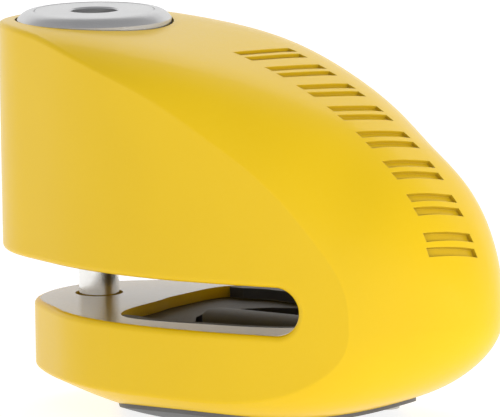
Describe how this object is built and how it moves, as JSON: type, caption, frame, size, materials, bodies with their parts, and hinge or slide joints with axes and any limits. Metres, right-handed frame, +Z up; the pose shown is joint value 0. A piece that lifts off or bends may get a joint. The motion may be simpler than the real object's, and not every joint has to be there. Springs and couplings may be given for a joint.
{
  "type": "disc brake lock",
  "caption": "Motorcycle disc brake lock: domed yellow cast body with a slot for the brake disc, a push-down lock barrel and a steel locking pin across the slot.",
  "frame": {"origin": "axis of the locking pin where it meets the floor of the disc slot", "axes": "+X towards the nose along the slot, +Y across the body, +Z up along the barrel and pin"},
  "size_m": [0.076, 0.0392, 0.0533],
  "materials": {
    "yellow_paint": "glossy powder coat on zinc alloy",
    "grey_pad": "matt moulded rubber",
    "black_plastic": "fine textured matt plastic",
    "seal_rubber": "matt",
    "satin_steel": "satin nickel-plated steel",
    "pin_steel": "satin ground hardened steel",
    "hard_steel": "hardened steel",
    "screw_steel": "zinc-plated",
    "spring_steel": "drawn spring steel",
    "bronze": "sintered bronze",
    "brass": "machined brass",
    "zinc_cast": "die-cast zinc"
  },
  "bodies": {
    "body": {"housing": "yellow_paint", "base_pad": "grey_pad", "pad_screws": "screw_steel", "slot_insert": "black_plastic", "guide_bush": "bronze", "guide_dowel": "hard_steel", "retaining_ring": "spring_steel", "wiper_seal": "seal_rubber", "return_spring": "spring_steel"},
    "barrel": {"barrel_shell": "satin_steel", "chamber_cover": "brass", "driver_pins": "brass", "tumbler_springs": "spring_steel", "barrel_base": "zinc_cast", "base_plate_screws": "screw_steel", "cap_ring": "satin_steel", "cap_screws": "screw_steel", "cap_face": "satin_steel", "locking_pin": "pin_steel", "latch_spring": "spring_steel"},
    "plug": {"key_plug": "brass", "key_pin_1": "brass", "key_pin_2": "brass", "key_pin_3": "brass", "key_pin_4": "brass", "anti_drill_disc": "hard_steel", "drive_cam": "zinc_cast", "plug_clip": "spring_steel"},
    "latch": {"latch_bolt": "hard_steel"}
  },
  "joints": [
    {"name": "barrel_slide", "type": "slide", "parent": "body", "child": "barrel", "axis": [0, 0, 1], "range_m": [0, 0.012], "deforming": ["return_spring"]},
    {"name": "plug_turn", "type": "hinge", "parent": "barrel", "child": "plug", "pos_m": [0, 0, 0.03], "axis": [0, 0, 1], "range_deg": [-90, 0]},
    {"name": "latch_slide", "type": "slide", "parent": "barrel", "child": "latch", "axis": [1, 0, 0], "range_m": [0, 0.0017], "deforming": ["latch_spring"]}
  ],
  "couplings": [
    {"joint": "plug_turn", "follows": "latch_slide", "rad_per_m": -923.9}
  ]
}
